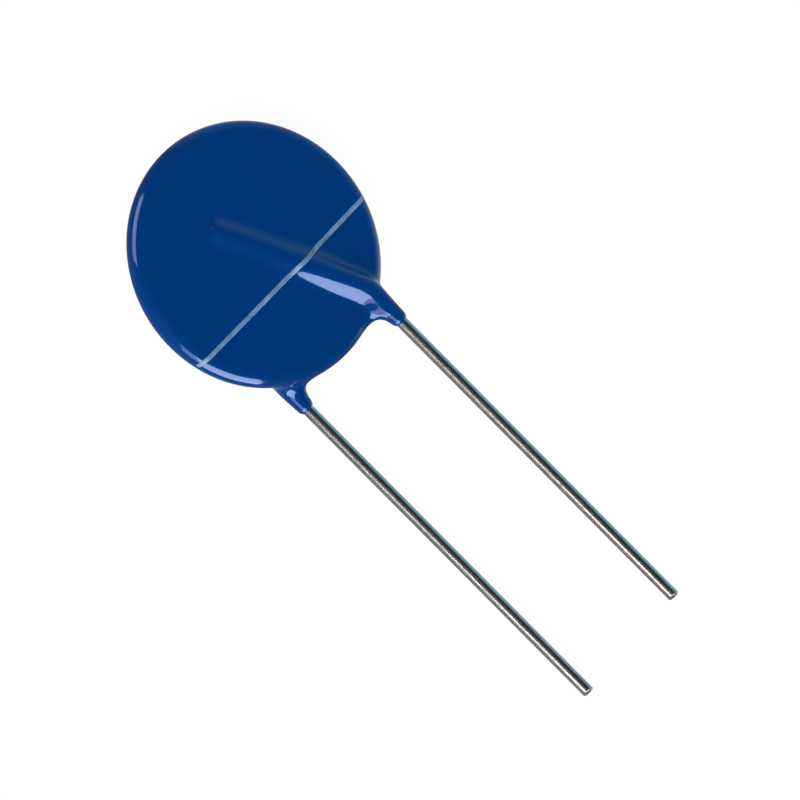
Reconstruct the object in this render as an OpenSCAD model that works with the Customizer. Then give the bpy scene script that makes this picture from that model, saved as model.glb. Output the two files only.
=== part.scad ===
// Disc varistor with two radial leads, lying on its back face as it would on a bench.
// A zinc-oxide disc has a fired electrode on each face. A tinned wire is soldered across
// each electrode, the two wires crossing at a slant, and a blue epoxy coat covers it all.
// The coat is one flowing skin: a domed disc with a round rim, a ridge over each slanted
// wire, and a tapered run down each lead, joined by soft webs.

/* [Ceramic element] */
// Diameter of the zinc-oxide disc
disc_d = 20; // [18.5:0.1:20.2]
// Thickness of the zinc-oxide disc
disc_t = 1.7; // [1.5:0.05:1.75]
// Diameter of each fired electrode
electrode_d = 18.8; // [17.5:0.1:19.4]
// Thickness of each fired electrode
electrode_t = 0.05; // [0.04:0.01:0.08]

/* [Leads] */
// Diameter of the tinned wire
wire_d = 1.0; // [0.8:0.05:1]
// Distance between the axes of the two leads
lead_pitch = 10; // [9.5:0.1:10.5]
// How far the pair of leads sits off the disc's centre line
lead_shift = -0.6; // [-0.8:0.1:0.8]
// How far the front lead reaches below the disc's centre
front_reach = 43.7; // [20:0.1:45]
// How far the back lead reaches below the disc's centre
back_reach = 44.1; // [20:0.1:45]
// How far below the disc's centre each wire bends
bend_drop = 8.7; // [8.6:0.1:9]
// Radius of the bend, on the wire's axis
bend_r = 5; // [3:0.5:6]
// Slant of each soldered run from the lead's direction, in degrees
slant = 26; // [24:0.2:27]
// Length of each soldered run, from its bend
run_len = 13.4; // [12.4:0.2:13.6]

/* [Solder] */
// Half width of the solder where it wets the electrode
solder_w = 1.2; // [1:0.05:1.4]
// How far from the bend the solder starts
solder_start = 2.6; // [2.4:0.1:4]

/* [Epoxy coat] */
// Diameter of the coated body
body_d = 21.8; // [21.6:0.1:22.2]
// Radius of the round rim, which is half the body's thickness there
rim_r = 1.05; // [1:0.05:1.2]
// How much each face swells at its centre
crown = 0.6; // [0.55:0.05:0.7]
// How much fuller the body is towards the leads, where the coat drained to
sag = 0.08; // [0:0.02:0.12]
// Thickness of the coat over each wire where it comes onto the disc
ridge_coat = 0.36; // [0.34:0.01:0.38]
// How much thinner the coat is over the wire's inner end, where the ridge dies away
ridge_fade = 0.28; // [0.2:0.02:0.3]
// Thickness of the coat at the end of each run on a lead
run_coat = 0.18; // [0.14:0.02:0.24]
// How far the coat runs down the front lead, below the disc's centre
front_run = 12.5; // [12:0.1:13]
// How far the coat runs down the back lead, below the disc's centre
back_run = 12; // [11.8:0.1:13]
// Reach of the soft blend between a ridge and a face
ridge_blend = 1.3; // [1.25:0.05:1.3]
// Reach of the webs between the runs and the rim, on the side between the leads
inner_web = 2.4; // [2:0.1:2.8]
// Reach of the webs on the outer sides of the runs
outer_web = 1.2; // [0.8:0.1:1.6]

/* [Printed line] */
// How far below the disc's centre the line crosses the middle of the front
line_drop = 3.1; // [2:0.1:3.3]
// Tilt of the line from square to the leads, in degrees
line_tilt = -2; // [-4:0.5:4]
// Width of the line
line_w = 0.42; // [0.3:0.02:0.5]
// How far short of the body's edge the line ends, round the rim, before it is shifted
line_end_gap = 0.5; // [0.4:0.05:1.2]
// How far the line is shifted along itself, towards the front lead's side
line_shift = -0.35; // [-0.4:0.05:0.4]

/* [Hidden] */

$fn = 72;
wire_r = wire_d / 2;
tin = 0.01;                                              // the leads are dipped in tin below the
tin_start = 0.3;                                         // coat, all round from this far below it
tin_fade = 0.6;                                          // and thinning out over this length
core_wire_r = wire_r - tin;                              // the wire itself
solder_film = 0.02;                                      // solder between wire and electrode
wire_z = disc_t / 2 + electrode_t + solder_film + wire_r; // wire axis from the mid-plane
wire_chamfer = 0.1;
bend_lap = 0.4;                                          // the bend laps the straight wire, in degrees
bend_swell = 0.002;                                      // and is this much fuller all round
bend_tangent = bend_r * tan(slant / 2);
run_dir = [-sin(slant), cos(slant), 0];                  // along the soldered run, front lead
solder_cover = 0.06;                                     // solder over the top of the wire
solder_h = solder_film + wire_d + solder_cover;
solder_top_w = 0.84 * wire_r;                            // half width at the top of the solder

core_r = body_d / 2 - rim_r;                             // the rim is a half round about this circle
ridge_r = wire_r + ridge_coat;
run_r = wire_r + run_coat;
tip_round = 0.6;                                         // reach of the blend round a run's end
fade_start = 5;                                          // the coat over a wire thins from this far
fade_end = 8;                                            // above the bend to this far above it
web_inside = 1.5;                                        // the webs go from wide to tight between
web_outside = 1;                                         // these distances in and out of a lead
web_fade = 2.2;                                          // and give way over this length,
web_low = 2.5;                                           // from this far below the bend
ridge_end_y = run_len * cos(slant) - bend_drop;          // where the wires end

ink_rise = 0.03;                                         // the ink stands this much over the coat
ink_depth = 0.04;                                        // and is keyed this far into it

// Small helpers
function mix(a, b, t) = a + (b - a) * t;
function ramp(from, to, v) =
    let (t = min(1, max(0, (v - from) / (to - from)))) t * t * (3 - 2 * t);
function soft_min(a, b, reach) =
    let (h = max(reach - abs(a - b), 0) / reach) min(a, b) - h * h * reach / 4;
function to_segment(p, a, b) =
    let (ab = b - a, t = min(1, max(0, (p - a) * ab / (ab * ab)))) norm(p - a - t * ab);
// Distance to the arc of a bend, for points beside it, from where the arc begins
function to_bend(p, start) =
    let (e = p - start + [bend_r, 0, 0], a = atan2(e.y, e.x))
    a > 0 && a < slant ? norm([norm([e.x, e.y]) - bend_r, e.z]) : norm(p - start);

// The skin of the coat is where coat_level is zero. It is negative inside.
function body_level(p) =
    let (r = norm([p.x, p.y]) - sag * pow(max(0, -p.y) / core_r, 2),
         dome = crown * pow(1 - pow(min(r / core_r, 1), 2), 2))
    norm([max(r - core_r, 0), max(abs(p.z) - dome, 0)]) - rim_r;

// Side is 1 for the front lead and -1 for the back lead, which is the same turned over. Only
// the length of the run differs.
function run_end(side) = side > 0 ? front_run : back_run;
function leg_level(p, side) =
    let (q = [side * (p.x - lead_shift), p.y, side * p.z],
         bend = [lead_pitch / 2, -bend_drop, wire_z],
         below = bend - [0, bend_tangent, 0],
         above = bend + bend_tangent * run_dir,
         end = [lead_pitch / 2, -run_end(side), wire_z],
         inner = bend + run_len * run_dir,
         taper = min(1, max(0, (p.y + run_end(side)) / (run_end(side) - bend_drop))),
         r = mix(run_r, ridge_r, taper) - ridge_fade * ramp(fade_start, fade_end, p.y + bend_drop))
    -soft_min(r - min(to_segment(q, end, below), to_bend(q, below), to_segment(q, above, inner)),
              p.y + run_end(side), tip_round);

// The webs are wide between the leads and tight outside them, and give way to the ridges
function blend_reach(p) =
    let (outside = abs(p.x - lead_shift) - lead_pitch / 2)
    mix(mix(inner_web, outer_web, ramp(-web_inside, web_outside, outside)), ridge_blend,
        ramp(-web_low, web_fade - web_low, p.y + bend_drop));

function coat_level(p) =
    let (reach = blend_reach(p))
    soft_min(soft_min(body_level(p), leg_level(p, 1), reach), leg_level(p, -1), reach);

// Walks out from p along dir to where coat_level reaches level, by halving the stretch
function skin_point(p, dir, level = 0, near = 0, far = 4, halvings = 16) =
    let (middle = (near + far) / 2)
    halvings == 0 ? p + middle * dir :
    coat_level(p + middle * dir) < level
        ? skin_point(p, dir, level, middle, far, halvings - 1)
        : skin_point(p, dir, level, near, middle, halvings - 1);

// How the skin is drawn. Each face has a band of lines along its own ridge, from past the
// ridge's end to the tip of the run. From the band's border, rows cross the face, turn over
// the rim, the web or the side of the run, and meet the rows of the other face. A face has
// no ridge towards the other lead, so there the rows start from a bridge that leaves the
// band, and from the middle of the other run. Everything is laid out for the front, and the
// back is the same turned over.
band_lines = 12;        // across a ridge, and round the tip of a run
stations = 38;          // along a band
web_rows = 7;           // down each side of a run, over its web
run_rows = 6;           // and from the web to the tip
bridge_rows = 3;        // of the web rows, those that start on the bridge
bottom_rows = 6;        // over the rim between the two runs
face_steps = 5;         // points of a row that cross the face
rim_steps = 5;          // and that turn over the rim
leg_rows = web_rows + run_rows;
ridge_stations = stations - leg_rows;
bridge_station = ridge_stations - bottom_rows;
top_rows = 2 * stations + band_lines - 2 * leg_rows - bottom_rows;
row_count = 2 * stations + 3 * band_lines + 2 * leg_rows;

band_w = 1.6;           // half width of a band on the face
band_open = 32;         // half angle of a band on a run, seen from the wire's axis
band_past = 1.7;        // how far a band starts past the ridge's end
web_start_y = 2 - bend_drop; // where the ridge's crest reaches the web rows
web_fan = 20;           // how far the web rows reach round the rim, in degrees
web_heading = -128;     // where the last web row between the leads points, in degrees
band_spread = 0.55;     // how evenly a band's lines are spaced: the rest crowds to its middle
relax_times = 6;        // for the patches over the webs
root_past = 0.15;       // how far past the body's outline the root of a run is
face_crowding = 1.25;   // crowds the points of a row towards the band
bridge_crowding = 2.6;  // crowds the starts on a bridge towards the edge of the face
face_lean = 12;         // lean of the rays where a row reaches the rim

// An angle in the plane of the disc, as a unit vector
function heading(a) = [cos(a), sin(a), 0];
function mirrored(p) = [-p.x, p.y, p.z];
function leg_x(side) = lead_pitch / 2 + side * lead_shift;

// Where a leg leaves the outline of the body, and the crest of its ridge at any y
function root_y(side) = -root_past - sqrt(pow(body_d / 2, 2) - pow(leg_x(side), 2));
function root_angle(side) = atan2(root_y(side), leg_x(side));
function crest(side, y) = [leg_x(side) - tan(slant) * max(0, y + bend_drop), y, 0];

// How far down a leg row number q is: 0 to 1 over the web, then 0 to 1 from root to tip
function over_web(q) = min(1, q / web_rows);
function down_run(q) = max(0, (q - web_rows) / run_rows);
function run_point(side, q) = crest(side, mix(root_y(side), run_r - run_end(side), down_run(q)));

// The ray [origin, direction] of a band's line k at station j
function band_ray(side, j, k) =
    let (q = j - ridge_stations,
         near = ramp(0, web_rows, q),
         y = q < 0 ? mix(ridge_end_y + band_past, web_start_y, j / ridge_stations)
                   : mix(web_start_y, root_y(side), over_web(q)),
         middle = q > web_rows ? run_point(side, q) : crest(side, y),
         share = 1 - 2 * k / band_lines,
         sideways = share * mix(band_spread, 1, share * share) * band_w,
         open = share * band_open * near)
    [middle + sideways * (1 - near) * heading(slant) + [0, 0, wire_z * near],
     [sin(open), 0, cos(open)]];

// The ray from which a row starts towards the other lead, seen from the front: over the
// bridge to the edge of the face, down the rim to the root of the run, then along the run
function bridge_ray(side, q) =
    let (foot = band_ray(side, bridge_station, band_lines)[0],
         a = -180 - root_angle(-side),
         rim = core_r * heading(a),
         fall = 90 * (q - bridge_rows) / (web_rows - bridge_rows))
    q <= bridge_rows ? [mix(rim, foot, pow(1 - q / bridge_rows, bridge_crowding)), [0, 0, 1]] :
    q < web_rows ? [rim, cos(90 - fall) * heading(a) + [0, 0, sin(90 - fall)]] :
    [mirrored(run_point(-side, q)) - [0, 0, wire_z], [0, 0, 1]];

// The rays from which the rows of one face start, anticlockwise from its own run's tip
function start_rays(side) = concat(
    [for (j = [stations:-1:0]) band_ray(side, j, 0)],
    [for (k = [1:band_lines - 1]) band_ray(side, 0, k)],
    [for (j = [0:bridge_station]) band_ray(side, j, band_lines)],
    [for (q = [1:leg_rows]) bridge_ray(side, q)],
    [for (k = [1:band_lines - 1]) bridge_ray(side, leg_rows)],
    [for (q = [leg_rows:-1:1]) bridge_ray(side, q)],
    [for (j = [bridge_station:stations]) band_ray(side, j, band_lines)],
    [for (k = [band_lines - 1:-1:1]) band_ray(side, stations, k)]);

// The turns of the rows over the outline, in the same order. A turn is the point the row
// turns about, the way out from it, and how far the row is from the disc's own rim.
function rim_turn(a) = [core_r * heading(a), heading(a), 0];
function leg_turn(side, q, outer) =
    let (near = ramp(0, web_rows, q),
         rim_a = root_angle(side) + (outer ? web_fan : -web_fan) * (1 - over_web(q)),
         a = outer ? mix(rim_a, 0, near) : mix(mix(rim_a, web_heading, near), -180, down_run(q)))
    [mix(core_r * heading(rim_a), run_point(side, q), over_web(q)) + [0, 0, wire_z * near],
     heading(a), near];
function tip_turn(side, a) = [run_point(side, leg_rows) + [0, 0, wire_z], heading(a), 1];
function turned(turn) = [[-turn[0].x, turn[0].y, -turn[0].z], mirrored(turn[1]), turn[2]];

function turns(side) =
    let (own_a = root_angle(side), other_a = -180 - root_angle(-side),
         first = own_a + web_fan, top_span = 360 + other_a - web_fan - first,
         bottom = other_a + web_fan, bottom_span = own_a - web_fan - bottom)
    concat(
    [for (q = [leg_rows:-1:1]) leg_turn(side, q, true)],
    [for (i = [0:top_rows]) rim_turn(first + top_span * i / top_rows)],
    [for (q = [1:leg_rows]) turned(leg_turn(-side, q, true))],
    [for (k = [1:band_lines - 1]) turned(tip_turn(-side, -180 * k / band_lines))],
    [for (q = [leg_rows:-1:1]) turned(leg_turn(-side, q, false))],
    [for (i = [0:bottom_rows]) rim_turn(bottom + bottom_span * i / bottom_rows)],
    [for (q = [1:leg_rows]) leg_turn(side, q, false)],
    [for (k = [band_lines - 1:-1:1]) tip_turn(side, -180 * k / band_lines)]);

// Turns a ray of one face over to where it really is, and finds the skin on it
function cast(side, from, dir) =
    skin_point([side * from.x, from.y, side * from.z], [side * dir.x, dir.y, side * dir.z]);

// The points of a row, from its start to the outline
function half_row(side, start, turn) =
    let (centre = turn[0], out = turn[1],
         begin = atan2(start[1].z, norm([start[1].x, start[1].y])),
         lean = mix(90 - face_lean, begin / 2, turn[2]),
         mid = cos(lean) * out + [0, 0, sin(lean)])
    concat(
    [for (i = [0:face_steps - 1])
        let (t = i / face_steps)
        cast(side, mix(start[0], centre, pow(t, face_crowding)), mix(start[1], mid, t))],
    [for (i = [0:rim_steps])
        let (a = lean * (1 - i / rim_steps)) cast(side, centre, cos(a) * out + [0, 0, sin(a)])]);

// Moves a point onto the skin, straight up or down the slope of coat_level
function settled(p, steps = 2) =
    let (h = 0.01, f = coat_level(p),
         slope = [for (d = [[h, 0, 0], [0, h, 0], [0, 0, h]]) (coat_level(p + d) - f) / h])
    steps == 0 ? p : settled(p - f / (slope * slope) * slope, steps - 1);

// A patch of rows, from the first in the list to the last, of which the ones between are
// redrawn: spread evenly between the patch's four sides, and then relaxed
function patch(rows) =
    let (m = len(rows) - 1, n = len(rows[0]) - 1)
    relaxed([for (i = [0:m]) [for (j = [0:n])
        let (u = i / m, v = j / n)
        i == 0 || j == 0 || i == m || j == n ? rows[i][j] :
        mix(rows[0][j], rows[m][j], u) + mix(rows[i][0], rows[i][n], v)
            - mix(mix(rows[0][0], rows[m][0], u), mix(rows[0][n], rows[m][n], u), v)]], relax_times);

// Moves each inner point of a grid between its neighbours and onto the skin, time after time
function relaxed(grid, times) =
    let (m = len(grid) - 1, n = len(grid[0]) - 1)
    times == 0 ? grid :
    relaxed([for (i = [0:m]) [for (j = [0:n])
        i == 0 || j == 0 || i == m || j == n ? grid[i][j] :
        settled((grid[i - 1][j] + grid[i + 1][j] + grid[i][j - 1] + grid[i][j + 1]) / 4)]], times - 1);

// All the half rows of a face. Those over the other lead's webs are drawn as patches.
function half_rows(side) =
    let (starts = start_rays(side), turns = turns(side),
         rows = [for (i = [0:row_count - 1]) half_row(side, starts[i], turns[i])],
         outer = leg_rows + top_rows,
         inner = outer + 2 * leg_rows + band_lines,
         outer_patch = patch([for (q = [0:web_rows]) rows[outer + q]]),
         inner_patch = patch([for (q = [0:web_rows]) rows[inner - q]]))
    [for (i = [0:row_count - 1])
        i >= outer && i <= outer + web_rows ? outer_patch[i - outer] :
        i <= inner && i >= inner - web_rows ? inner_patch[inner - i] : rows[i]];

// Whole rows, from a start on the front to a start on the back, where the rows run the
// other way round and the outline's points are already there
function whole_rows() =
    let (front = half_rows(1), back = half_rows(-1), turn_over = 2 * leg_rows + top_rows + 1)
    [for (i = [0:row_count - 1])
        let (other = back[row_count - 1 - (i + row_count - turn_over) % row_count])
        concat(front[i], [for (j = [len(other) - 2:-1:0]) other[j]])];

function band(side) = [for (j = [0:stations]) [for (k = [0:band_lines])
    let (ray = band_ray(side, j, k)) cast(side, ray[0], ray[1])]];

// The faces of a grid of points that starts at point number first. Each cell is split
// along its shorter diagonal.
function grid_faces(points, first, rows, columns) =
    [for (i = [0:rows - 1], j = [0:columns - 2])
        let (a = first + i * columns + j, b = a + columns)
        each norm(points[a] - points[b + 1]) < norm(points[b] - points[a + 1])
            ? [[a, b, b + 1], [a, b + 1, a + 1]]
            : [[a, b, a + 1], [b, b + 1, a + 1]]];

module skin() {
    rows = whole_rows();
    columns = len(rows[0]);
    front = band(1);
    back = band(-1);
    points = [each each concat(rows, [rows[0]], front, back)];
    front_start = (row_count + 1) * columns;
    back_start = front_start + (stations + 1) * (band_lines + 1);
    faces = concat(
        grid_faces(points, 0, row_count, columns),
        grid_faces(points, front_start, stations, band_lines + 1),
        grid_faces(points, back_start, stations, band_lines + 1));
    polyhedron(points, [for (f = faces)
        if (points[f[0]] != points[f[1]] && points[f[1]] != points[f[2]]
            && points[f[2]] != points[f[0]]) f]);
}

// Sets the disc's centre so that the part's box is centred over the origin and rests on z = 0
rest_h = -min([for (row = band(-1)) for (p = row) p.z]);
module placed() {
    translate([0, (max(front_reach, back_reach) - body_d / 2) / 2, rest_h]) children();
}

module coating() {
    color([0.0, 0.22, 0.47]) placed() difference() {
        skin();
        element();
        electrode(1);
        electrode(-1);
        solder_fillet(1);
        solder_fillet(-1);
        wire(1);
        wire(-1);
        ink();
    }
}

module element() {
    cylinder(d = disc_d, h = disc_t, center = true);
}

module electrode(side) {
    flipped(side) translate([0, 0, disc_t / 2]) cylinder(d = electrode_d, h = electrode_t);
}

// Turns the front half of the assembly over, to make the back half
module flipped(side) {
    rotate([0, side > 0 ? 0 : 180, 0]) children();
}

// Puts children at the bend of a lead, or right under or over it, with y along the soldered run
module at_bend(side, height = wire_z) {
    translate([lead_shift, 0, 0]) flipped(side)
        translate([lead_pitch / 2, -bend_drop, height]) rotate(slant) children();
}

module wire(side) {
    reach = side > 0 ? front_reach : back_reach;
    leg_len = reach - bend_drop - bend_tangent;
    tinned = run_end(side) + tin_start - bend_drop - bend_tangent;
    // the soldered run
    at_bend(side) translate([0, bend_tangent, 0]) rotate([-90, 0, 0])
        cylinder(r = core_wire_r, h = run_len - bend_tangent);
    // the bend, a hair fuller and longer than the gap it fills, then the straight leg with its
    // coat of tin, which ends in a cut with a worn edge
    at_bend(side) rotate(-slant) translate([0, -bend_tangent, 0]) {
        translate([-bend_r, 0, 0]) rotate(-bend_lap) rotate_extrude(angle = slant + 2 * bend_lap)
            translate([bend_r, 0]) circle(core_wire_r + bend_swell);
        rotate([90, 0, 0]) rotate_extrude() polygon([
            [0, 0], [core_wire_r, 0], [core_wire_r, tinned - tin_fade], [wire_r, tinned],
            [wire_r, leg_len - wire_chamfer], [wire_r - wire_chamfer, leg_len], [0, leg_len]]);
    }
}

// The solder's section, or half of it: wide where it wets the electrode, and concave up the
// side of the wire
module solder_section(half = false) {
    steps = 8;
    flank = [for (i = [0:steps])
        let (h = i / steps) [mix(solder_top_w, solder_w, pow(1 - h, 2)), h * solder_h]];
    other_flank = half ? [[0, solder_h], [0, 0]]
                       : [for (i = [steps:-1:0]) [-flank[i].x, flank[i].y]];
    polygon(concat(flank, other_flank));
}

// The whole mound along a run, with round ends, and the wire's own room still in it
module solder_fillet(side) {
    half_len = (run_len - solder_start) / 2;
    at_bend(side, disc_t / 2 + electrode_t) translate([0, solder_start + half_len, 0]) {
        rotate([90, 0, 0]) linear_extrude(2 * half_len, center = true) solder_section();
        translate([0, half_len, 0]) rotate_extrude(angle = 180) solder_section(half = true);
        translate([0, -half_len, 0]) rotate(180) rotate_extrude(angle = 180)
            solder_section(half = true);
    }
}

// The printed line: a strip that follows the skin over the front ridge, and turns over the rim
// at its ends. Lengths are as on the flat print that is wrapped over the rim.
module ink() {
    steps = 84;
    across = [cos(line_tilt), sin(line_tilt)];
    ahead = [-sin(line_tilt), cos(line_tilt)];
    middle = [0, -line_drop];
    // half its length, and how far its own middle is from where it crosses the disc's middle
    half = sqrt(pow(core_r + rim_r * PI / 2 - line_end_gap, 2) - pow(middle * ahead, 2));
    shift = line_shift - middle * across;
    rows = [for (i = [0:steps])
        let (along = shift + half * (2 * i / steps - 1), p = middle + along * across)
        [for (corner = [[-1, ink_rise], [1, ink_rise], [1, -ink_depth], [-1, -ink_depth]])
            let (edge = p + corner[0] * line_w / 2 * ahead, r = norm(edge),
                 out = [edge.x, edge.y, 0] / r, turn = max(0, r - core_r) / rim_r * 180 / PI)
            skin_point(min(r, core_r) * out, sin(turn) * out + [0, 0, cos(turn)], corner[1])]];
    last = 4 * steps;
    sides = [for (i = [0:steps - 1], j = [0:3])
        let (a = 4 * i + j, b = 4 * i + (j + 1) % 4) each [[a, b + 4, a + 4], [a, b, b + 4]]];
    polyhedron([for (row = rows) each row],
        concat(sides, [[2, 1, 0], [3, 2, 0], [last, last + 1, last + 2], [last, last + 2, last + 3]]));
}

module printed_line() {
    color([0.56, 0.67, 0.78]) placed() ink();
}

module ceramic_disc() {
    color([0.25, 0.25, 0.27]) placed() element();
}

module front_electrode() {
    color([0.80, 0.80, 0.78]) placed() electrode(1);
}

module back_electrode() {
    color([0.80, 0.80, 0.78]) placed() electrode(-1);
}

module solder_joint(side) {
    color([0.66, 0.67, 0.68]) placed() difference() {
        solder_fillet(side);
        wire(side);
    }
}

module lead(side) {
    color([0.72, 0.72, 0.70]) placed() wire(side);
}

coating();
printed_line();
ceramic_disc();
front_electrode();
back_electrode();
solder_joint(1);  // front_solder
solder_joint(-1);  // back_solder
lead(1);  // front_lead
lead(-1);  // back_lead
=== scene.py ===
import math

import bpy
import numpy as np
from mathutils import Matrix, Vector


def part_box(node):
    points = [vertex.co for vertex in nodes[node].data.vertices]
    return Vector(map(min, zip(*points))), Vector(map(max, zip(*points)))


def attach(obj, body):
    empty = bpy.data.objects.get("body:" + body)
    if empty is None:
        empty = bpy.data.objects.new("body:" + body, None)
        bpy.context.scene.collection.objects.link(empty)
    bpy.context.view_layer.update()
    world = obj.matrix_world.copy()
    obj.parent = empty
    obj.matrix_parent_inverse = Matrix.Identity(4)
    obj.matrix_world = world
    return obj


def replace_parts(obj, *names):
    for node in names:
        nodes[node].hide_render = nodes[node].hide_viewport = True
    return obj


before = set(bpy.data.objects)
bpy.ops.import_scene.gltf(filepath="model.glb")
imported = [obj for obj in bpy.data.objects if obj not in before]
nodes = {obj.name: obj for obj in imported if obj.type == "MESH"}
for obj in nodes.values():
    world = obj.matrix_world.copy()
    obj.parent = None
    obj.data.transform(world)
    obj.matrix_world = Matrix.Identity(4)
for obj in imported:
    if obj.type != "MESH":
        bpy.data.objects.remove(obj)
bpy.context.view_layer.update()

# Sizes of the part, in millimetres, about the centre of the ceramic disc
MM = 0.001
DISC_T = 1.7
ELECTRODE_T = 0.05
SOLDER_FILM = 0.02
WIRE_R = 0.5
TIN_T = 0.01
PITCH = 10.0
SHIFT = -0.6
BEND_DROP = 8.7
BEND_R = 5.0
SLANT = math.radians(26)
RUN_LEN = 13.4
FRONT_REACH = 43.7
BACK_REACH = 44.1

# The coat: body, ridge over each wire, run down each lead, and the webs that join them
BODY_R = 10.9
RIM_R = 1.05
CROWN = 0.6
SAG = 0.08
RIDGE_COAT = 0.36
RIDGE_FADE = 0.28
FADE_FROM = 5.0
FADE_TO = 8.0
RUN_COAT = 0.18
FRONT_RUN = 12.5
BACK_RUN = 12.0
TIP_ROUND = 0.6
RIDGE_BLEND = 1.3
INNER_WEB = 2.4
OUTER_WEB = 1.2
WEB_INNER_SIDE = -1.5
WEB_OUTER_SIDE = 1.0
WEB_BELOW_BEND = -2.5
RIDGE_BELOW_BEND = -0.3

# The printed line
LINE_DROP = 3.1
LINE_TILT = math.radians(-2)
LINE_W = 0.42
LINE_END_GAP = 0.5
LINE_SHIFT = -0.35

# Worked out from them
UP = np.array([0.0, 0.0, 1.0])
WIRE_Z = DISC_T / 2 + ELECTRODE_T + SOLDER_FILM + WIRE_R
BEND = np.array([PITCH / 2, -BEND_DROP, WIRE_Z])
BEND_TANGENT = BEND_R * math.tan(SLANT / 2)
RUN_DIR = np.array([-math.sin(SLANT), math.cos(SLANT), 0.0])
CORE_R = BODY_R - RIM_R
box_low, box_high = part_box("ceramic_disc")
CENTRE = (np.array(box_low) + np.array(box_high)) / 2

# Fineness of the skin's mesh
SLOPE_STEP = 1e-3
SETTLE_STEPS = 6
CELL = 0.16
GRID_LOW = (-11.2, -12.7, -2.8)
GRID_HIGH = (11.2, 11.2, 2.8)


# The skin of the coat: where coat_level is zero, as in the part's source
def ramp(start, end, v):
    t = np.clip((v - start) / (end - start), 0, 1)
    return t * t * (3 - 2 * t)


def mix(a, b, t):
    return a + (b - a) * t


def soft_min(a, b, reach):
    h = np.maximum(reach - np.abs(a - b), 0) / reach
    return np.minimum(a, b) - h * h * reach / 4


def to_segment(p, a, b):
    ab = b - a
    t = np.clip((p - a) @ ab / (ab @ ab), 0, 1)
    return np.linalg.norm(p - a - t[..., None] * ab, axis=-1)


def to_bend(p, start):
    e = p - start + [BEND_R, 0, 0]
    a = np.arctan2(e[..., 1], e[..., 0])
    beside = np.hypot(np.hypot(e[..., 0], e[..., 1]) - BEND_R, e[..., 2])
    return np.where((a > 0) & (a < SLANT), beside, np.linalg.norm(p - start, axis=-1))


def body_level(p):
    r = np.hypot(p[..., 0], p[..., 1]) - SAG * (np.maximum(-p[..., 1], 0) / CORE_R) ** 2
    dome = CROWN * (1 - np.minimum(r / CORE_R, 1) ** 2) ** 2
    over = np.maximum(np.abs(p[..., 2]) - dome, 0)
    return np.hypot(np.maximum(r - CORE_R, 0), over) - RIM_R


# The coated wire on one side: +1 is the front lead, -1 the back one, which is the same turned over
def leg_level(p, side):
    run = FRONT_RUN if side > 0 else BACK_RUN
    q = np.stack([side * (p[..., 0] - SHIFT), p[..., 1], side * p[..., 2]], -1)
    below = BEND - np.array([0, BEND_TANGENT, 0])
    above = BEND + BEND_TANGENT * RUN_DIR
    end = np.array([PITCH / 2, -run, WIRE_Z])
    inner = BEND + RUN_LEN * RUN_DIR
    y = p[..., 1]
    taper = np.clip((y + run) / (run - BEND_DROP), 0, 1)
    fade = RIDGE_FADE * ramp(FADE_FROM, FADE_TO, y + BEND_DROP)
    r = WIRE_R + mix(RUN_COAT, RIDGE_COAT, taper) - fade
    away = np.minimum(to_segment(q, end, below), to_bend(q, below))
    away = np.minimum(away, to_segment(q, above, inner))
    return -soft_min(r - away, y + run, TIP_ROUND)


def coat_level(p):
    outside = np.abs(p[..., 0] - SHIFT) - PITCH / 2
    web = mix(INNER_WEB, OUTER_WEB, ramp(WEB_INNER_SIDE, WEB_OUTER_SIDE, outside))
    reach = mix(web, RIDGE_BLEND, ramp(WEB_BELOW_BEND, RIDGE_BELOW_BEND, p[..., 1] + BEND_DROP))
    front = soft_min(body_level(p), leg_level(p, 1), reach)
    return soft_min(front, leg_level(p, -1), reach)


def coat_slope(p):
    steps = np.eye(3) * SLOPE_STEP
    return np.stack([(coat_level(p + d) - coat_level(p - d)) / (2 * SLOPE_STEP) for d in steps], -1)


def unit(v):
    return v / np.linalg.norm(v, axis=-1)[..., None]


def settle(p):
    for _ in range(SETTLE_STEPS):
        g = coat_slope(p)
        p = p - (coat_level(p) / np.sum(g * g, -1))[..., None] * g
    return p


# A piece of the object, from points in millimetres about the disc's centre
def new_mesh(name, points, faces, material, normals=None):
    mesh = bpy.data.meshes.new(name)
    mesh.from_pydata((np.asarray(points) * MM + CENTRE).tolist(), [], faces)
    mesh.materials.append(material)
    mesh.polygons.foreach_set("use_smooth", [True] * len(mesh.polygons))
    mesh.update()
    if normals is not None:
        mesh.normals_split_custom_set_from_vertices(np.asarray(normals).tolist())
    piece = bpy.data.objects.new(name, mesh)
    bpy.context.scene.collection.objects.link(piece)
    return piece


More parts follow.
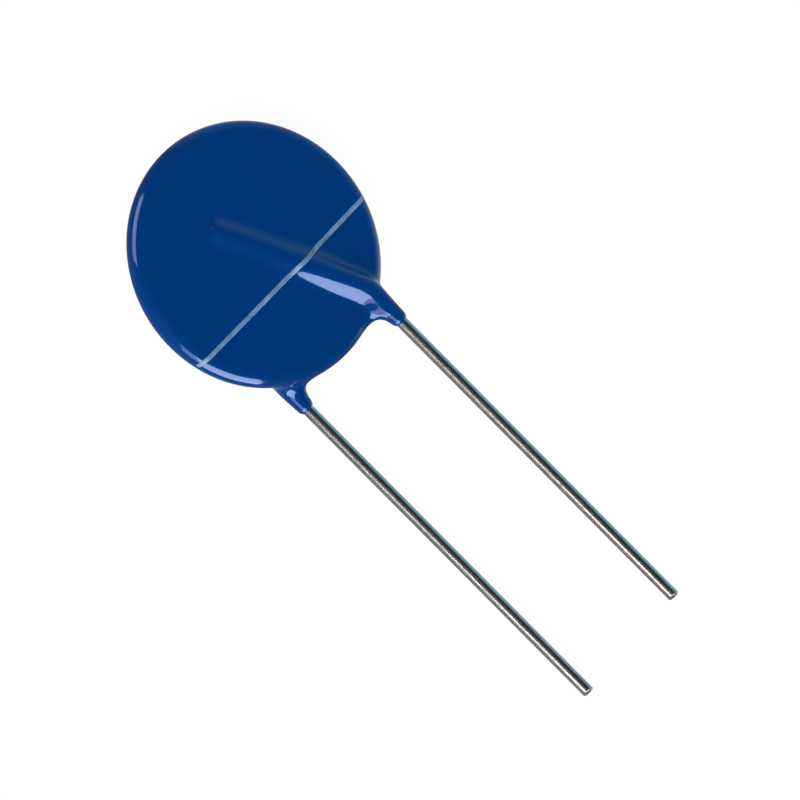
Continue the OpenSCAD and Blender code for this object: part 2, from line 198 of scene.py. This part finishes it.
# Surface nets: one point in each cell that the skin passes through, moved onto the skin, and
# a quad across each grid edge that goes through the skin
def skin_mesh():
    axes = [np.arange(GRID_LOW[k], GRID_HIGH[k] + CELL, CELL) for k in range(3)]
    grid = np.stack(np.meshgrid(*axes, indexing="ij"), -1)
    inside = coat_level(grid) < 0
    count = [len(a) - 1 for a in axes]
    corners = [inside[i:i + count[0], j:j + count[1], k:k + count[2]]
               for i in (0, 1) for j in (0, 1) for k in (0, 1)]
    filled = sum(c.astype(np.int8) for c in corners)
    mixed = (filled > 0) & (filled < len(corners))
    number = np.full(mixed.shape, -1)
    number[mixed] = np.arange(mixed.sum())
    cells = np.argwhere(mixed)
    points = settle(np.array([a[c] for a, c in zip(axes, cells.T)]).T + CELL / 2)
    faces = []
    for axis in range(3):
        side, up = np.roll(np.eye(3, dtype=int), axis, axis=1)[1:]
        window = [slice(1, -1)] * 3
        window[axis] = slice(0, -1)
        here = inside[tuple(window)]
        window[axis] = slice(1, None)
        there = inside[tuple(window)]
        base = np.ones(3, int)
        base[axis] = 0
        for leaving in (True, False):
            at = np.argwhere((here == leaving) & (there != leaving)) + base
            quad = np.stack([number[tuple((at - s * side - u * up).T)]
                             for s, u in ((0, 0), (1, 0), (1, 1), (0, 1))], -1)
            faces.append(quad if leaving else quad[:, ::-1])
    return points, np.concatenate(faces)


# Materials
def new_material(name):
    material = bpy.data.materials.new(name)
    material.use_nodes = True
    tree = material.node_tree
    shader = tree.nodes["Principled BSDF"]
    return material, tree, shader


def node(tree, kind, **values):
    made = tree.nodes.new("ShaderNode" + kind)
    for key, value in values.items():
        if key in made.inputs:
            made.inputs[key].default_value = value
        else:
            setattr(made, key, value)
    return made


def link(tree, source, out, target, into):
    tree.links.new(source.outputs[out], target.inputs[into])


# Noise fixed to the part. A stretch of its own for each direction replaces the one scale.
def grain(tree, scale=1.0, stretch=None, **values):
    place = node(tree, "TexCoord")
    noise = node(tree, "TexNoise", Scale=scale, **values)
    if stretch is None:
        link(tree, place, "Object", noise, "Vector")
        return noise
    mapping = node(tree, "Mapping", Scale=stretch)
    link(tree, place, "Object", mapping, "Vector")
    link(tree, mapping, "Vector", noise, "Vector")
    return noise


def tinted(tree, noise, shaders, dark, light, start=0.0, end=1.0):
    colour = node(tree, "ValToRGB")
    for stop, at, shade in zip(colour.color_ramp.elements, (start, end), (dark, light)):
        stop.position = at
        stop.color = (*shade, 1)
    link(tree, noise, "Fac", colour, "Fac")
    for shader in shaders:
        link(tree, colour, "Color", shader, "Base Color")


def roughened(tree, noise, shader, least, most):
    rough = node(tree, "MapRange")
    rough.inputs["To Min"].default_value = least
    rough.inputs["To Max"].default_value = most
    link(tree, noise, "Fac", rough, "Value")
    link(tree, rough, "Result", shader, "Roughness")


def bumped(tree, noise, shaders, strength, distance):
    bump = node(tree, "Bump", Strength=strength, Distance=distance)
    link(tree, noise, "Fac", bump, "Height")
    for shader in shaders:
        link(tree, bump, "Normal", shader, "Normal")


# Glossy epoxy, clouded a little and with the slight unevenness of a dipped coat
def coat_material():
    material, tree, shader = new_material("coat_epoxy")
    shader.inputs["IOR"].default_value = 1.52
    shader.inputs["Specular Tint"].default_value = (0.49, 0.63, 1.0, 1.0)
    clouds = grain(tree, scale=260.0, Detail=3.0)
    tinted(tree, clouds, [shader], dark=(0.0, 0.034, 0.166), light=(0.0, 0.037, 0.178))
    roughened(tree, clouds, shader, least=0.07, most=0.12)
    peel = grain(tree, scale=900.0, Detail=2.0)
    bumped(tree, peel, [shader], strength=0.04, distance=0.1 * MM)
    return material


def metal_material(name, dark, light, roughness, fineness):
    material, tree, shader = new_material(name)
    shader.inputs["Metallic"].default_value = 1.0
    noise = grain(tree, stretch=(fineness, fineness, fineness), Detail=4.0)
    tinted(tree, noise, [shader], dark, light)
    roughened(tree, noise, shader, least=roughness * 0.8, most=roughness * 1.25)
    bumped(tree, noise, [shader], strength=0.25, distance=0.02 * MM)
    return material


# Thin ink: blotchy where the coat shows through it
def ink_material():
    material, tree, shader = new_material("printed_ink")
    shader.inputs["Roughness"].default_value = 0.5
    blotches = grain(tree, scale=1500.0, Detail=4.0)
    tinted(tree, blotches, [shader], dark=(0.055, 0.14, 0.29), light=(0.15, 0.27, 0.43), start=0.3, end=0.7)
    return material


# Dipped tin: a satin sheen under a bright one, both streaked along the wire
def tin_material():
    material, tree, satin = new_material("bright_tin")
    satin.inputs["Metallic"].default_value = 1.0
    satin.inputs["Roughness"].default_value = 0.42
    bright = node(tree, "BsdfPrincipled", Metallic=1.0)
    streaks = grain(tree, stretch=(7000, 1100, 7000), Detail=5.0, Roughness=0.6)
    tinted(tree, streaks, [satin, bright], dark=(0.50, 0.50, 0.475), light=(0.78, 0.78, 0.755),
           start=0.3, end=0.7)
    roughened(tree, streaks, bright, least=0.04, most=0.16)
    bumped(tree, streaks, [satin, bright], strength=0.5, distance=0.01 * MM)
    both = node(tree, "MixShader", Fac=0.28)
    tree.links.new(bright.outputs[0], both.inputs[1])
    tree.links.new(satin.outputs[0], both.inputs[2])
    tree.links.new(both.outputs[0], tree.nodes["Material Output"].inputs["Surface"])
    return material


coat = coat_material()
tin = tin_material()
ink = ink_material()
silver = metal_material("fired_silver", dark=(0.60, 0.60, 0.58), light=(0.82, 0.82, 0.80),
                        roughness=0.45, fineness=1500)
solder = metal_material("solder", dark=(0.40, 0.40, 0.41), light=(0.62, 0.63, 0.64),
                        roughness=0.35, fineness=900)
ceramic = metal_material("zinc_oxide", dark=(0.035, 0.035, 0.04), light=(0.075, 0.075, 0.08),
                         roughness=0.6, fineness=2500)

for name, material in (("printed_line", ink), ("ceramic_disc", ceramic), ("front_electrode", silver),
                       ("back_electrode", silver), ("front_solder", solder), ("back_solder", solder),
                       ("front_lead", tin), ("back_lead", tin)):
    for material_slot in nodes[name].material_slots:
        material_slot.material = material

# The coat's smooth skin, kept inside the box of the solid that it stands for
skin_points, skin_faces = skin_mesh()
box_low, box_high = [(np.array(v) - CENTRE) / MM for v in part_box("coating")]
coat_skin = new_mesh("coat_skin", np.clip(skin_points, box_low, box_high), skin_faces.tolist(), coat,
                     unit(coat_slope(skin_points)))
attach(coat_skin, "root")
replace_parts(coat_skin, "coating")


# Rows of points as quads, each row closed on itself
def tube_faces(rows, columns):
    i, j = np.meshgrid(np.arange(rows - 1), np.arange(columns), indexing="ij")
    a = i * columns + j
    b = i * columns + (j + 1) % columns
    return np.stack([a, a + columns, b + columns, b], -1).reshape(-1, 4).tolist()


# A lead: the soldered run, the bend and the straight leg, with a worn cut at its end. Its tin
# is whole from a little below the coat, thins out over the mouth of the coat, and stops inside.
WIRE_TURNS = 64
RUN_RINGS = 40
BEND_RINGS = 14
LEG_RINGS = 160
SOLDERED_LEN = RUN_LEN - 0.001
TIN_START = 0.3
TIN_FADE = 0.6
LEG_DIR = np.array([0.0, 1.0, 0.0])
CUT_TOP = 0.1
CUT_EDGE = ((0.0, CUT_TOP), (0.03, 0.045), (0.1, 0.0), (0.1, 0.0), (WIRE_R, 0.0))


def lead_rings(run, reach):
    copper_r = WIRE_R - TIN_T
    centre = BEND + BEND_TANGENT * RUN_DIR + BEND_R * np.array([-math.cos(SLANT), -math.sin(SLANT), 0])
    rings = [(BEND + SOLDERED_LEN * RUN_DIR, RUN_DIR, r) for r in (0.0, copper_r)]
    for s in np.linspace(SOLDERED_LEN, BEND_TANGENT, RUN_RINGS):
        rings.append((BEND + s * RUN_DIR, RUN_DIR, copper_r))
    for a in np.linspace(SLANT, 0, BEND_RINGS):
        out = np.array([math.cos(a), math.sin(a), 0])
        rings.append((centre + BEND_R * out, np.array([-out[1], out[0], 0]), copper_r))
    tinned = -run - TIN_START
    for y in (-BEND_DROP - BEND_TANGENT, tinned + TIN_FADE):
        rings.append((np.array([PITCH / 2, y, WIRE_Z]), LEG_DIR, copper_r))
    for y in np.linspace(tinned, CUT_TOP - reach, LEG_RINGS):
        rings.append((np.array([PITCH / 2, y, WIRE_Z]), LEG_DIR, WIRE_R))
    for inset, y in CUT_EDGE:
        rings.append((np.array([PITCH / 2, y - reach, WIRE_Z]), LEG_DIR, WIRE_R - inset))
    return rings


def lead_piece(name, side):
    rings = lead_rings(FRONT_RUN, FRONT_REACH) if side > 0 else lead_rings(BACK_RUN, BACK_REACH)
    turns = np.linspace(0, 2 * math.pi, WIRE_TURNS, endpoint=False)
    rows = []
    for middle, along, r in rings:
        across = np.cross(along, UP)
        rows.append([middle + r * (math.cos(t) * across + math.sin(t) * UP) for t in turns])
    points = np.array(rows).reshape(-1, 3) * [side, 1, side] + [SHIFT, 0, 0]
    piece = new_mesh(name, points, tube_faces(len(rings), WIRE_TURNS), tin)
    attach(piece, "root")
    return piece


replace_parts(lead_piece("front_wire", 1), "front_lead")
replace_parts(lead_piece("back_wire", -1), "back_lead")

# The printed line: a thin layer of ink with slightly ragged edges, laid over the skin
INK_STATIONS = 600
INK_LINES = 9
INK_T = 0.022
INK_LIFT = 0.002
INK_SUNK = 0.03
INK_END_STATIONS = 6
RAGGED = 0.035
RAGGED_INSET = 0.02
RAGGED_WAVES = (0.23, 0.37, 0.61, 1.1, 2.3)
SKIN_HALVINGS = 30
SKIN_FAR = 4.0


def ripple(t, random):
    total = np.zeros_like(t)
    for wave in RAGGED_WAVES:
        total += np.sin(2 * math.pi * (t / wave + random.random())) * random.uniform(0.5, 1)
    return RAGGED * total / len(RAGGED_WAVES)


# Where the skin is met from each point of the flat print. Past the core the way out turns
# over the rim, by as much as the print runs on.
def onto_skin(flat):
    radius = np.linalg.norm(flat, axis=-1)[..., None]
    turn = np.maximum(0, radius - CORE_R) / RIM_R
    start = flat / radius * np.minimum(radius, CORE_R)
    over = np.sin(turn) * flat / radius + np.cos(turn) * UP
    near = np.zeros(flat.shape[:2])
    far = np.full(flat.shape[:2], SKIN_FAR)
    for _ in range(SKIN_HALVINGS):
        reach = (near + far) / 2
        inside = coat_level(start + reach[..., None] * over) < 0
        near = np.where(inside, reach, near)
        far = np.where(inside, far, reach)
    return start + near[..., None] * over


def line_piece():
    random = np.random.default_rng(3)
    across = np.array([math.cos(LINE_TILT), math.sin(LINE_TILT), 0])
    ahead = np.array([-math.sin(LINE_TILT), math.cos(LINE_TILT), 0])
    middle = np.array([0, -LINE_DROP, 0])
    half = math.sqrt((CORE_R + RIM_R * math.pi / 2 - LINE_END_GAP) ** 2 - (middle @ ahead) ** 2)
    along = LINE_SHIFT - middle @ across + half * np.linspace(-1, 1, INK_STATIONS)
    upper, lower = [side * (LINE_W / 2 - RAGGED_INSET) + ripple(along, random) for side in (1, -1)]
    share = np.linspace(0, 1, INK_LINES)
    width = upper[:, None] + (lower - upper)[:, None] * share
    on_skin = onto_skin(middle + along[:, None, None] * across + width[..., None] * ahead)
    out = unit(coat_slope(on_skin))

    station = np.arange(INK_STATIONS)
    from_end = np.minimum(station, station[::-1])
    rounded = np.sqrt(np.clip(1 - (2 * share - 1) ** 6, 0, 1))
    thick = INK_T * rounded * np.minimum(1, from_end / INK_END_STATIONS)[:, None]
    top = on_skin + (thick[..., None] + INK_LIFT) * out
    under = (on_skin - INK_SUNK * out)[:, ::-1]
    loops = np.concatenate([top, under], 1)

    around = loops.shape[1]
    last = (INK_STATIONS - 1) * around
    faces = tube_faces(INK_STATIONS, around)
    faces.append(list(range(around)))
    faces.append(list(range(last + around - 1, last - 1, -1)))
    return new_mesh("ink_line", loops.reshape(-1, 3), faces, ink)


line = line_piece()
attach(line, "root")
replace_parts(line, "printed_line")

# Floor: pale and glowing evenly, so that only the softest shade shows on it
FLOOR_HALF = 1.2
FLOOR_GREY = 0.12
FLOOR_GLOW = 0.92
corners = [(x * FLOOR_HALF, y * FLOOR_HALF, 0) for x, y in ((-1, -1), (1, -1), (1, 1), (-1, 1))]
floor_mesh = bpy.data.meshes.new("floor")
floor_mesh.from_pydata(corners, [], [(0, 1, 2, 3)])
floor_material, tree, shader = new_material("floor")
shader.inputs["Base Color"].default_value = (FLOOR_GREY, FLOOR_GREY, FLOOR_GREY, 1)
shader.inputs["Roughness"].default_value = 0.9
shader.inputs["Specular IOR Level"].default_value = 0.0
shader.inputs["Emission Color"].default_value = (1, 1, 1, 1)
shader.inputs["Emission Strength"].default_value = FLOOR_GLOW
floor_mesh.materials.append(floor_material)
floor = bpy.data.objects.new("floor", floor_mesh)
bpy.context.scene.collection.objects.link(floor)
floor.visible_glossy = False

# Lights. A direction is an azimuth, anticlockwise from +X, and a height over the horizon. The
# sizes are angles too, as the part sees them.
LIGHT_FAR = 1.0


def heading(azimuth, height):
    a, e = math.radians(azimuth), math.radians(height)
    return Vector((math.cos(a) * math.cos(e), math.sin(a) * math.cos(e), math.sin(e)))


def softbox(name, azimuth, height, width, tall, radiance, glossy=True, diffuse=True):
    light = bpy.data.lights.new(name, "AREA")
    light.shape = "RECTANGLE"
    light.size = 2 * LIGHT_FAR * math.tan(math.radians(width / 2))
    light.size_y = 2 * LIGHT_FAR * math.tan(math.radians(tall / 2))
    light.energy = radiance * math.pi * light.size * light.size_y
    box = bpy.data.objects.new(name, light)
    towards = heading(azimuth, height)
    box.location = Vector(CENTRE) + LIGHT_FAR * towards
    box.rotation_euler = towards.to_track_quat("Z", "Y").to_euler()
    box.visible_glossy = glossy
    box.visible_diffuse = diffuse
    bpy.context.scene.collection.objects.link(box)


# The first three make the highlights alone, and the others light the surfaces alone
softbox("key_softbox", azimuth=-134, height=12, width=38, tall=48, radiance=11, diffuse=False)
softbox("key_flank", azimuth=-159.5, height=19, width=15, tall=32, radiance=4.5, diffuse=False)
softbox("side_softbox", azimuth=110, height=18, width=40, tall=31, radiance=5.6, diffuse=False)
softbox("fill", azimuth=-170, height=36, width=70, tall=50, radiance=4.2, glossy=False)
softbox("far_fill", azimuth=15, height=32, width=60, tall=40, radiance=1.9, glossy=False)
softbox("top", azimuth=30, height=80, width=60, tall=60, radiance=0.25, glossy=False)

# The room round the part: dim on the camera's side, and paler beyond the part, where it is
# neutral on the right and cool on the left
world = bpy.data.worlds.new("studio")
world.use_nodes = True
bpy.context.scene.world = world
tree = world.node_tree
background = tree.nodes["Background"]
place = node(tree, "TexCoord")
split = node(tree, "SeparateXYZ")
link(tree, place, "Generated", split, "Vector")
rise = node(tree, "MapRange")
rise.inputs["From Min"].default_value = -1
link(tree, split, "Z", rise, "Value")


# A stop is the Z of a direction, from -1 straight down to 1 straight up, and the radiance
# there. The first two stops are the ramp's own ends.
def sky(stops):
    shades = node(tree, "ValToRGB")
    for i, (z, radiance) in enumerate(stops):
        at = (z + 1) / 2
        stop = shades.color_ramp.elements[i] if i < 2 else shades.color_ramp.elements.new(at)
        stop.position = at
        stop.color = (*(radiance * np.ones(3)), 1)
    link(tree, rise, "Result", shades, "Fac")
    return shades.outputs["Color"]


def blend(axis, start, end, first, second):
    share = node(tree, "MapRange")
    share.inputs["From Min"].default_value = start
    share.inputs["From Max"].default_value = end
    share.interpolation_type = "SMOOTHSTEP"
    link(tree, split, axis, share, "Value")
    both = node(tree, "Mix", data_type="RGBA")
    tree.links.new(share.outputs["Result"], both.inputs[0])
    tree.links.new(first, both.inputs[6])
    tree.links.new(second, both.inputs[7])
    return both.outputs[2]


COOL = np.array([0.9, 1.5, 1.75])
DEEP = np.array([0.35, 1.6, 2.1])
near_side = sky(((-1.0, 0.3), (1.0, 0.0), (-0.7, 0.2), (-0.3, 0.14), (0.0, 0.08), (0.5, 0.03)))
cool_side = sky(((-1.0, 0.75), (1.0, 0.0), (-0.5, 0.6), (-0.1, 0.32 * COOL), (0.17, 0.35 * COOL),
                 (0.5, 0.3 * DEEP), (0.77, 0.07 * DEEP)))
neutral_side = sky(((-1.0, 1.4), (1.0, 0.0), (0.0, 1.25), (0.3, 0.85), (0.6, 0.4), (0.8, 0.02)))
far_side = blend("Y", -0.2, -0.6, cool_side, neutral_side)
tree.links.new(blend("X", 0.4, 0.75, near_side, far_side), background.inputs["Color"])

# Camera: a long lens, so far off that the picture has no perspective, as in the photograph.
# The disc's radius and centre in the photograph, in pixels, place it.
AZIMUTH = math.radians(-108.457)
HEIGHT = math.radians(63.978)
ROLL = math.radians(61.9)
PICTURE = 800
DISC_PIXELS = 136.4
DISC_ACROSS = 253.55
DISC_DOWN = 253.95
SENSOR = 36
CAMERA_FAR = 2.0
PIXELS_PER_MM = DISC_PIXELS / BODY_R
back = Vector((math.sin(AZIMUTH) * math.cos(HEIGHT), -math.cos(AZIMUTH) * math.cos(HEIGHT), math.sin(HEIGHT)))
level_right = Vector((math.cos(AZIMUTH), math.sin(AZIMUTH), 0))
level_up = back.cross(level_right)
right = math.cos(ROLL) * level_right + math.sin(ROLL) * level_up
up = -math.sin(ROLL) * level_right + math.cos(ROLL) * level_up
from_disc = (PICTURE / 2 - DISC_ACROSS) * right - (PICTURE / 2 - DISC_DOWN) * up
aim = Vector(CENTRE) + from_disc / PIXELS_PER_MM * MM
camera = bpy.data.cameras.new("camera")
camera.sensor_width = SENSOR
camera.lens = SENSOR * CAMERA_FAR / (PICTURE / PIXELS_PER_MM * MM)
camera.clip_end = 10
camera_object = bpy.data.objects.new("camera", camera)
turn = Matrix((right, up, back)).transposed().to_4x4()
camera_object.matrix_world = Matrix.Translation(aim + CAMERA_FAR * back) @ turn
bpy.context.scene.collection.objects.link(camera_object)
bpy.context.scene.camera = camera_object

scene = bpy.context.scene
scene.view_settings.view_transform = "Standard"
scene.view_settings.look = "None"
scene.view_settings.exposure = 0
scene.view_settings.gamma = 1
